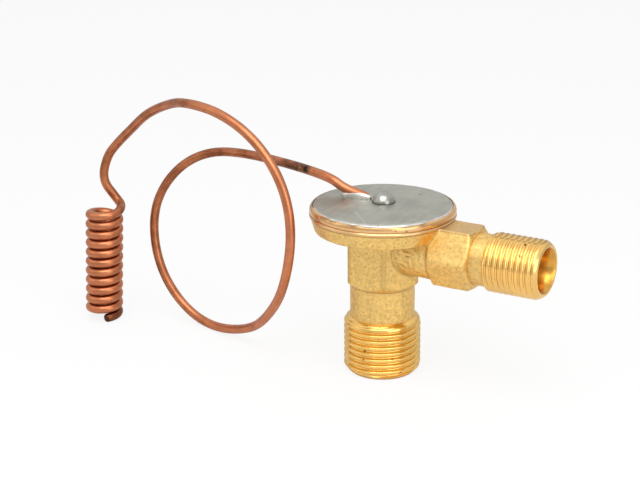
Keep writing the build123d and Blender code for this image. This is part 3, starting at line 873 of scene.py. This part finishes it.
def new_material(name, metallic, specular=0.5):
    """Material with a Principled shader, and its tree and shader."""
    material = bpy.data.materials.get(name) or bpy.data.materials.new(name)
    material.use_nodes = True
    tree = material.node_tree
    tree.nodes.clear()
    shader = node(
        tree, "ShaderNodeBsdfPrincipled", (3, 0), {"Metallic": metallic, "Specular IOR Level": specular})
    out = node(tree, "ShaderNodeOutputMaterial", (5, 0))
    tree.links.new(shader.outputs[0], out.inputs[0])
    return material, tree, shader.inputs


def bump(tree, place, height, distance, strength):
    """Normal tilted by a height, over a distance in millimetres."""
    return node(tree, "ShaderNodeBump", place, {
        "Height": height, "Distance": distance * MM, "Strength": strength}).outputs["Normal"]


def scaled(colour, share):
    """Colour with each part multiplied, and held below one."""
    return tuple(min(1.0, share * c) for c in colour)


def mask(tree, place, label):
    """Number that the mesh carries at its points under this name."""
    return node(tree, "ShaderNodeAttribute", place, attribute_name=label).outputs["Fac"]


def rise(tree, place, value, factor, offset):
    """value * factor + offset."""
    made = maths(tree, place, "MULTIPLY_ADD", value, factor)
    made.node.inputs[2].default_value = offset
    return made


def forged_brass(colour, dark):
    """Matte forged brass: mottled tones, fine grain, dark specks, painted shade in the corners, and painted
    reflections under the flange and on the top flat.
    """
    material, tree, shader = new_material("forged_brass", 0.9)
    marks = use_group(tree, "metal_speckle", (-5, 0), {"Speck Scale": 2300.0, "Speck Size": 0.58,
                                                       "Mottle Scale": 260.0, "Grain Scale": 1150.0})
    tone = ramp(tree, (-3, 1), marks["Mottle"], [
        (0.32, scaled(colour, 0.77)), (0.52, colour), (0.70, scaled(colour, 1.13))])
    grained = mix(tree, (-2, 1), 0.65, tone, ramp(tree, (-3, 3), marks["Grain"], [
        (0.36, tuple(a * b for a, b in zip(colour, (0.80, 0.75, 0.66)))), (0.62, scaled(colour, 1.14))]))
    specked = mix(tree, (-1, 1), rise(tree, (-2, 3), marks["Specks"], 0.6, 0.0), grained, (*dark, 1))
    # painted shade in the corners and folds, broken up by the grain
    stain_and_shade = mask(tree, (-3, -2), "stain_and_shade")
    crevice_shade = maths(
        tree, (-1, -1), "MULTIPLY", stain_and_shade, rise(tree, (-2, -2), marks["Grain"], 1.6, -0.1), clamp=True)
    # painted orange reflection in the corner under the flange
    corner_reflection = mask(tree, (-3, -4), "corner_reflection")
    corner_reflected = mix(tree, (-1, 2), rise(tree, (-2, -4), corner_reflection, 0.8, 0.0), specked, REFLECTED_ORANGE_BRASS)
    # painted darker reflection on the top flat
    top_flat_reflection = mask(tree, (-3, -6), "top_flat_reflection")
    top_flat_reflected = mix(tree, (-1, 4), rise(tree, (-2, -6), top_flat_reflection, 0.6, 0.0), corner_reflected, TOP_FLAT_REFLECTION_BRASS)
    tree.links.new(mix(tree, (0, 1), crevice_shade, top_flat_reflected, (*scaled(dark, 0.6), 1)), shader["Base Color"])
    tree.links.new(rise(tree, (0, -1), marks["Mottle"], 0.25, 0.34), shader["Roughness"])
    tree.links.new(bump(tree, (0, -2), marks["Height"], 0.03, 0.8), shader["Normal"])
    return material


def turned_brass(name, across, colour, dull=0.10):
    """Bright turned brass with tool lines round the axis, a few stains and painted shade in the lip's
    groove and crease.
    """
    material, tree, shader = new_material(name, 1.0)
    lines = use_group(tree, "tool_lines", (-5, 1), {"Across": across})
    marks = use_group(tree, "metal_speckle", (-5, -1), {"Speck Scale": 620.0, "Speck Size": 0.28,
                                                        "Mottle Scale": 150.0, "Grain Scale": 1500.0})
    tone = ramp(tree, (-3, 0), marks["Mottle"], [
        (0.32, scaled(colour, 0.80)), (0.62, colour)])
    lined = mix(tree, (-2, 1), 0.4, tone, ramp(tree, (-3, 2), lines["Lines"], [
        (0.38, scaled(colour, 0.78)), (0.60, scaled(colour, 1.05))]))
    specked = mix(tree, (-1, 1), marks["Specks"], lined, TURNED_SPECK)
    # the lip's stains, with painted shade in its groove and crease
    stain_and_shade = mask(tree, (-3, -3), "stain_and_shade")
    stained_and_shaded = mix(tree, (0, 1), rise(tree, (-1, -3), stain_and_shade, 0.75, 0.0), specked, TURNED_STAIN_AND_SHADE)
    tree.links.new(stained_and_shaded, shader["Base Color"])
    tree.links.new(rise(tree, (0, -1), lines["Lines"], 0.18, dull), shader["Roughness"])
    tree.links.new(bump(tree, (0, -2), lines["Lines"], 0.012, 0.6), shader["Normal"])
    return material


def line_mask(tree, place, where, start, end, width):
    """Soft line between two points of the cover: the Mapping turns it along X, half a unit each way."""
    middle = [(a + b) / 2 * MM for a, b in zip(start, end)]
    run = np.array(end) - np.array(start)
    length = float(np.hypot(*run)) * MM
    turned = node(tree, "ShaderNodeMapping", place, {
        "Vector": where, "Location": (*middle, 0), "Rotation": (0, 0, float(np.arctan2(run[1], run[0]))),
        "Scale": (length, width * MM, 1)}, vector_type="TEXTURE")
    apart = node(tree, "ShaderNodeSeparateXYZ", (place[0] + 1, place[1]), {0: turned.outputs[0]}).outputs
    far = maths(tree, (place[0] + 2, place[1]), "SUBTRACT", 0.5, maths(
        tree, (place[0] + 1, place[1] + 1), "ABSOLUTE", apart["X"]))
    side = maths(tree, (place[0] + 2, place[1] - 1), "SUBTRACT", 0.5, maths(
        tree, (place[0] + 1, place[1] - 1), "ABSOLUTE", apart["Y"]))
    ends = maths(tree, (place[0] + 3, place[1]), "MULTIPLY", far, 6.0, clamp=True)
    sides = maths(tree, (place[0] + 3, place[1] - 1), "MULTIPLY", side, 2.0, clamp=True)
    return maths(tree, (place[0] + 4, place[1]), "MULTIPLY", ends, sides)


def cover_steel(colour):
    """Tinned steel cover: fine streaks, cloudy stains, a scratch and a few pits."""
    material, tree, shader = new_material("cover_steel", 0.85)
    where = node(tree, "ShaderNodeTexCoord", (-9, 0)).outputs["Object"]
    lines = use_group(tree, "tool_lines", (-6, 1), {"Across": (1100.0, 130.0, 130.0)})
    marks = use_group(tree, "metal_speckle", (-6, -1), {"Speck Scale": 420.0, "Speck Size": 0.22,
                                                        "Mottle Scale": 110.0, "Grain Scale": 1300.0})
    tone = ramp(tree, (-4, 0), marks["Mottle"], [
        (0.30, scaled(colour, 0.74)), (0.50, colour), (0.72, scaled(colour, 1.22))])
    streaked = mix(tree, (-3, 1), 0.3, tone, ramp(tree, (-4, 2), lines["Lines"], [
        (0.35, scaled(colour, 0.72)), (0.65, scaled(colour, 1.2))]))
    scratch = line_mask(tree, (-8, 5), where, *SCRATCH, SCRATCH_WIDTH)
    broken = maths(
        tree, (-2, 4), "MULTIPLY", scratch, rise(tree, (-3, 4), marks["Grain"], 1.6, -0.2), clamp=True)
    marked = mix(tree, (-1, 1), broken, streaked, (*scaled(colour, 1.7), 1))
    tree.links.new(mix(tree, (0, 1), marks["Specks"], marked, COVER_SPECK), shader["Base Color"])
    tree.links.new(rise(tree, (0, -1), lines["Lines"], 0.16, 0.30), shader["Roughness"])
    tree.links.new(bump(tree, (0, -2), marks["Mottle"], 0.05, 0.35), shader["Normal"])
    return material


def bright_metal(name, colour, roughness, lump, metallic=1.0):
    """Plain metal with slight mottling and grain, for solder, plug and inner pieces, with painted shade at
    the plug's foot.
    """
    material, tree, shader = new_material(name, metallic)
    marks = use_group(tree, "metal_speckle", (-4, 0), {"Speck Scale": 800.0, "Speck Size": 0.3,
                                                       "Mottle Scale": 330.0, "Grain Scale": 1600.0})
    tone = ramp(tree, (-2, 1), marks["Mottle"], [
        (0.32, scaled(colour, 0.66)), (0.60, colour)])
    specked = mix(tree, (-1, 1), marks["Specks"], tone, (*scaled(colour, 0.35), 1))
    stain_and_shade = mask(tree, (-2, -3), "stain_and_shade")
    tree.links.new(mix(tree, (0, 1), stain_and_shade, specked, (*scaled(colour, 0.18), 1)), shader["Base Color"])
    tree.links.new(rise(tree, (0, -1), marks["Grain"], 0.2, roughness - 0.1), shader["Roughness"])
    tree.links.new(bump(tree, (0, -2), marks["Mottle"], lump, 1.0), shader["Normal"])
    return material


def patinated_copper(colour, brown):
    """Copper tube: brown patina in patches, drawn lines along it, soot near the head, and painted shade on
    the coil's stub.
    """
    material, tree, shader = new_material("copper_tube", 1.0)
    uv = node(tree, "ShaderNodeUVMap", (-8, 2), uv_map="UVMap").outputs["UV"]
    drawn = node(tree, "ShaderNodeVectorMath", (-7, 2), {0: uv, 1: (0.9, 14.0, 1.0)}, operation="MULTIPLY")
    lines = node(tree, "ShaderNodeTexNoise", (-6, 2), {
        "Vector": drawn.outputs[0], "Scale": 1.0, "Detail": 3.0}).outputs["Fac"]
    marks = use_group(tree, "metal_speckle", (-7, 0), {"Speck Scale": 560.0, "Speck Size": 0.18,
                                                       "Mottle Scale": 230.0, "Grain Scale": 1500.0})
    masks = {label: mask(tree, (-7, -2 - k), label) for k, label in enumerate(("soot", "age", "stub_shade"))}
    clean = maths(tree, (-4, 1), "ADD", rise(tree, (-5, 2), lines, 0.28, 0.10), rise(
        tree, (-5, 1), marks["Mottle"], 0.5, 0.0))
    darkened = maths(tree, (-3, 1), "SUBTRACT", clean, rise(tree, (-4, 0), masks["age"], 0.13, 0.0))
    tone = ramp(tree, (-2, 1), darkened, [
        (0.30, brown), (0.42, tuple(0.62 * a + 0.38 * b for a, b in zip(colour, brown))), (0.56, colour)])
    spotted = mix(
        tree, (-1, 1), rise(tree, (-2, 3), marks["Specks"], 0.7, 0.0), tone, (*scaled(brown, 0.5), 1))
    dark = maths(tree, (-3, -2), "ADD", rise(tree, (-4, -2), masks["soot"], 1.2, -0.25), rise(
        tree, (-4, -3), marks["Mottle"], -3.6, 1.75))
    sooty = mix(tree, (0, 1), maths(tree, (-2, -2), "MULTIPLY", dark, masks["soot"], clamp=True), spotted,
                SOOT)
    # painted shade on the coil's stub end
    stub_shaded = mix(
        tree, (1, 1), rise(tree, (0, 3), masks["stub_shade"], 0.8, 0.0), sooty, (*scaled(brown, 0.42), 1))
    tree.links.new(stub_shaded, shader["Base Color"])
    tree.links.new(rise(tree, (0, -1), clean, -0.3, 0.50), shader["Roughness"])
    tree.links.new(bump(tree, (0, -2), lines, 0.01, 0.5), shader["Normal"])
    return material


# ---- settings ------------------------------------------------------------------------------------
class ValveBodySettings(bpy.types.PropertyGroup):
    """Sizes and colours of the brass body"""
    thread_depth: bpy.props.FloatProperty(
        name="Thread depth", description="Depth of the outlet thread", default=0.72 * MM, unit="LENGTH")
    skin_step: bpy.props.FloatProperty(
        name="Skin step", description="Size of the forged skin's mesh", default=0.30 * MM, unit="LENGTH")
    forged_colour: bpy.props.FloatVectorProperty(
        name="Forged brass", description="Colour of the forged skin",
        default=(0.78, 0.53, 0.185), subtype="COLOR")
    speck_colour: bpy.props.FloatVectorProperty(
        name="Specks", description="Colour of the pits in the skin",
        default=(0.36, 0.22, 0.07), subtype="COLOR")
    turned_colour: bpy.props.FloatVectorProperty(
        name="Turned brass", description="Colour of the turned faces",
        default=(0.90, 0.57, 0.17), subtype="COLOR")


class ValveHeadSettings(bpy.types.PropertyGroup):
    """Colours of the head pieces"""
    cover_colour: bpy.props.FloatVectorProperty(
        name="Cover", description="Colour of the tinned cover",
        default=(0.40, 0.40, 0.345), subtype="COLOR")
    solder_colour: bpy.props.FloatVectorProperty(
        name="Solder", description="Colour of the solder",
        default=(0.74, 0.73, 0.68), subtype="COLOR")


class ValveTubeSettings(bpy.types.PropertyGroup):
    """Colours of the capillary tube"""
    copper_colour: bpy.props.FloatVectorProperty(
        name="Copper", description="Colour of clean copper",
        default=(0.58, 0.212, 0.10), subtype="COLOR")
    patina_colour: bpy.props.FloatVectorProperty(
        name="Patina", description="Colour of the brown patina",
        default=(0.25, 0.080, 0.034), subtype="COLOR")


class ValveStageSettings(bpy.types.PropertyGroup):
    """Floor and light"""
    floor_colour: bpy.props.FloatVectorProperty(
        name="Floor", description="Colour of the floor",
        default=(0.93, 0.93, 0.93), subtype="COLOR")
    overhead_power: bpy.props.FloatProperty(
        name="Overhead light", description="Power of the light over the valve", default=1.15, unit="POWER")


# ---- operators -----------------------------------------------------------------------------------
class VALVE_OT_body(bpy.types.Operator):
    """Builds the brass body: forged blank, threads, lip and bores"""
    bl_idname = "scene.valve_body"
    bl_label = "Brass body"

    def execute(self, context):
        chosen = context.scene.valve_body
        depth = chosen.thread_depth / MM
        obj = forged_blank(chosen.skin_step / MM)
        combine(obj, [outlet_barrel(depth), inlet_spout(depth * IN_DEPTH_SHARE), crimped_lip()], "UNION")
        combine(obj, body_hollows(), "DIFFERENCE")
        smooth(obj, 42)
        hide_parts("valve_body")
        turned = tuple(chosen.turned_colour)
        dressed(obj, "valve", "brass_forging",
                forged_brass(tuple(chosen.forged_colour), tuple(chosen.speck_colour)),
                turned_brass("turned_brass_outlet", (50.0, 50.0, 6000.0), turned),
                # painted highlight: the inlet's copy is paler, for the whiter highlights on the inlet
                # thread
                turned_brass("turned_brass_inlet", (6000.0, 50.0, 50.0),
                             (*turned[:2], turned[2] * 1.1), 0.13),
                turned_brass("turned_brass_lip", (120.0, 120.0, 5000.0),
                             (turned[0] * 0.92, turned[1] * 0.87, turned[2] * 1.35), 0.16),
                # painted shade: the bores get a darker, deeper orange copy of the brass
                turned_brass("bore_brass_shaded", (500.0, 500.0, 500.0), SHADED_BORE_BRASS, 0.16))
        body_finish_regions(obj)
        return {"FINISHED"}


class VALVE_OT_head(bpy.types.Operator):
    """Builds the cover plate, the solder and the charge plug"""
    bl_idname = "scene.valve_head"
    bl_label = "Head pieces"

    def execute(self, context):
        chosen = context.scene.valve_head
        steel = cover_steel(tuple(chosen.cover_colour))
        solder = bright_metal("solder", tuple(chosen.solder_colour), 0.34, 0.06)
        plug = bright_metal("plug_steel", PLUG_STEEL, 0.24, 0.01)
        for obj, name, slot, material in (
                (cover_plate(), "head_cover", "cover_steel", steel),
                (rim_bead(), "rim_solder", "solder", solder),
                (plug_dome(), "charge_plug", "plug_steel", plug),
                (solder_fillet(), "tube_solder", "solder", solder)):
            smooth(obj, 35)
            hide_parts(name)
            dressed(obj, "valve", slot, material)
        return {"FINISHED"}


class VALVE_OT_tube(bpy.types.Operator):
    """Builds the copper capillary tube with its sensing coil"""
    bl_idname = "scene.valve_tube"
    bl_label = "Capillary tube"

    def execute(self, context):
        chosen = context.scene.valve_tube
        obj = smooth(formed_tube(), 50)
        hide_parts("capillary_tube")
        dressed(obj, "valve", "copper_tube",
                patinated_copper(tuple(chosen.copper_colour), tuple(chosen.patina_colour)))
        return {"FINISHED"}


class VALVE_OT_inside(bpy.types.Operator):
    """Finishes the inner pieces that show through the ports"""
    bl_idname = "scene.valve_inside"
    bl_label = "Inner pieces"

    def execute(self, context):
        steel = bright_metal("spring_steel", (0.50, 0.50, 0.50), 0.3, 0.003)
        pin = bright_metal("pin_steel", (0.62, 0.62, 0.62), 0.2, 0.002)
        screen = bright_metal("screen_metal", (0.72, 0.56, 0.30), 0.32, 0.004)
        brass = bright_metal("inner_brass", (0.80, 0.55, 0.20), 0.26, 0.004)
        # painted shade: the seal at the coil's stub end is dark brown, as the stub lies in shade
        stub_seal_shade = bright_metal("stub_seal_painted_shade", (0.13, 0.050, 0.030), 0.5, 0.02)
        finishes = {
            "coil_end_seal": ("solder", stub_seal_shade), "diaphragm": ("spring_steel", steel),
            "diaphragm_pad": ("brass_turned", brass), "push_pin_1": ("pin_steel", pin),
            "push_pin_2": ("pin_steel", pin), "orifice_seat": ("brass_turned", brass),
            "valve_ball": ("pin_steel", pin), "ball_carrier": ("brass_turned", brass),
            "superheat_spring": ("spring_steel", steel), "spring_washer": ("spring_steel", steel),
            "adjusting_nut": ("brass_turned", brass), "strainer_screen": ("screen_metal", screen),
            "strainer_collar": ("brass_turned", brass), "strainer_cap": ("screen_metal", screen)}
        bodies = frame["record"]["behaviour"]["bodies"]
        for name, (slot, material) in finishes.items():
            obj = copy_of_node(name + "_finished", name)
            body = next(b for b, members in bodies.items() if name in members)
            dressed(obj, body, slot, material)
            if name == "superheat_spring":
                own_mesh(obj)
        return {"FINISHED"}


class VALVE_OT_stage(bpy.types.Operator):
    """Sets the floor, the soft light and the camera"""
    bl_idname = "scene.valve_stage"
    bl_label = "Stage"

    def execute(self, context):
        chosen = context.scene.valve_stage
        scene = context.scene
        scene.view_settings.view_transform = "Standard"
        floor_and_world(tuple(chosen.floor_colour))
        for name, place, size, share in LAMPS:
            lamp(name, place, size, chosen.overhead_power * share)
        scene.camera = place_camera()
        return {"FINISHED"}


def floor_and_world(colour):
    """Pale floor that keeps the shadow, and a white surround for camera, glossy and clear rays."""
    corners = [(a * FLOOR_SIZE, b * FLOOR_SIZE, FLOOR_Z) for a, b in ((-1, -1), (1, -1), (1, 1), (-1, 1))]
    floor = mesh_object("floor", corners, [(0, 1, 2, 3)])
    material, tree, shader = new_material("floor_paint", 0.0, 0.2)
    shader["Base Color"].default_value = (*colour, 1)
    shader["Roughness"].default_value = 0.8
    rays = node(tree, "ShaderNodeLightPath", (2, 2)).outputs
    white = node(tree, "ShaderNodeEmission", (3, 2), {"Color": (1, 1, 1, 1), "Strength": 1.0})
    share = maths(tree, (3, 3), "MULTIPLY", rays["Is Camera Ray"], FLOOR_WHITE)
    blend = node(tree, "ShaderNodeMixShader", (4, 1), {0: share})
    tree.links.new(shader["Base Color"].node.outputs[0], blend.inputs[1])
    tree.links.new(white.outputs[0], blend.inputs[2])
    out = next(n for n in tree.nodes if n.type == "OUTPUT_MATERIAL")
    tree.links.new(blend.outputs[0], out.inputs[0])
    floor.data.materials.append(material)

    world = bpy.data.worlds.new("studio")
    bpy.context.scene.world = world
    world.use_nodes = True
    tree = world.node_tree
    tree.nodes.clear()
    rays = node(tree, "ShaderNodeLightPath", (-3, 1)).outputs
    way = node(tree, "ShaderNodeTexCoord", (-5, -1)).outputs["Generated"]
    apart = node(tree, "ShaderNodeSeparateXYZ", (-4, -1), {0: way}).outputs
    over = maths(tree, (-3, -1), "SUBTRACT", apart["Z"], 0.2)
    above = maths(tree, (-2, -1), "MULTIPLY", over, 1.9, clamp=True)
    mirrored = rise(tree, (0, -1), above, SKY_RISE, SKY_LOW)
    seen = maths(tree, (-1, 1), "MAXIMUM", rays["Is Glossy Ray"], rays["Is Transmission Ray"])
    plain = maths(tree, (0, 1), "MULTIPLY", seen, mirrored)
    rest = rise(tree, (0, 0), seen, -SKY_PLAIN, SKY_PLAIN)
    both = maths(tree, (1, 1), "ADD", plain, rest)
    strength = maths(tree, (2, 1), "MAXIMUM", both, rays["Is Camera Ray"])
    sky = node(tree, "ShaderNodeBackground", (3, 0), {"Color": (1, 1, 1, 1), "Strength": strength})
    out = node(tree, "ShaderNodeOutputWorld", (4, 0))
    tree.links.new(sky.outputs[0], out.inputs[0])


def lamp(name, place, size, power):
    """Soft square lamp, as wide as size, pointed at LAMP_TARGET; place and size in millimetres."""
    data = bpy.data.lights.new(name, "AREA")
    data.size = size * MM
    data.energy = power
    at = np.array(place, float)
    back = at - LAMP_TARGET
    back /= np.linalg.norm(back)
    right = np.cross((0, 0, 1), back)
    right /= np.linalg.norm(right)
    linked(name, data).matrix_world = axes_matrix(right, np.cross(back, right), back, at)


def axes_matrix(right, up, back, place):
    """Placement with the given axes, at a place in millimetres."""
    rows = np.eye(4)
    rows[:3, 0], rows[:3, 1], rows[:3, 2], rows[:3, 3] = right, up, back, np.asarray(place) * MM
    return Matrix(rows.tolist())


def place_camera():
    """Camera at the viewing angle, with its roll about the line of sight."""
    a, e, roll = CAMERA_AZIMUTH, CAMERA_ELEVATION, CAMERA_ROLL
    right = np.array([cos(a), sin(a), 0])
    towards = np.array([sin(a), -cos(a), 0])
    back = towards * cos(e) + np.array([0, 0, 1]) * sin(e)
    up = np.array([0, 0, 1]) * cos(e) - towards * sin(e)
    data = bpy.data.cameras.new("camera")
    data.sensor_width = SENSOR_WIDTH
    data.lens = FOCAL_PIXELS * SENSOR_WIDTH / IMAGE_WIDTH
    data.shift_x = SHIFT_PIXELS / IMAGE_WIDTH
    data.clip_start, data.clip_end = 0.01, 20
    obj = linked("camera", data)
    obj.matrix_world = axes_matrix(
        right * cos(roll) + up * sin(roll), up * cos(roll) - right * sin(roll), back, CAMERA_AT)
    return obj


class VALVE_PT_panel(bpy.types.Panel):
    """Sidebar panel with the valve's settings and steps"""
    bl_label = "Expansion valve"
    bl_idname = "VALVE_PT_panel"
    bl_space_type = "VIEW_3D"
    bl_region_type = "UI"
    bl_category = "Valve"

    def draw(self, context):
        for name, kind, steps in STEPS:
            box = self.layout.box()
            chosen = getattr(context.scene, name)
            for key in kind.__annotations__:
                box.prop(chosen, key)
            for step in steps:
                box.operator(step.bl_idname)


STEPS = (
    ("valve_body", ValveBodySettings, (VALVE_OT_body,)),
    ("valve_head", ValveHeadSettings, (VALVE_OT_head,)),
    ("valve_tube", ValveTubeSettings, (VALVE_OT_tube, VALVE_OT_inside)),
    ("valve_stage", ValveStageSettings, (VALVE_OT_stage,)),
)


def register():
    for name, kind, steps in STEPS:
        bpy.utils.register_class(kind)
        for step in steps:
            bpy.utils.register_class(step)
        setattr(bpy.types.Scene, name, bpy.props.PointerProperty(type=kind))
    bpy.utils.register_class(VALVE_PT_panel)


def unregister():
    bpy.utils.unregister_class(VALVE_PT_panel)
    for name, kind, steps in reversed(STEPS):
        delattr(bpy.types.Scene, name)
        for step in steps:
            bpy.utils.unregister_class(step)
        bpy.utils.unregister_class(kind)


def main():
    register()
    speckle_group()
    streak_group()
    bpy.ops.scene.valve_body()
    bpy.ops.scene.valve_head()
    bpy.ops.scene.valve_tube()
    bpy.ops.scene.valve_inside()
    bpy.ops.scene.valve_stage()


if __name__ == "__main__":
    main()
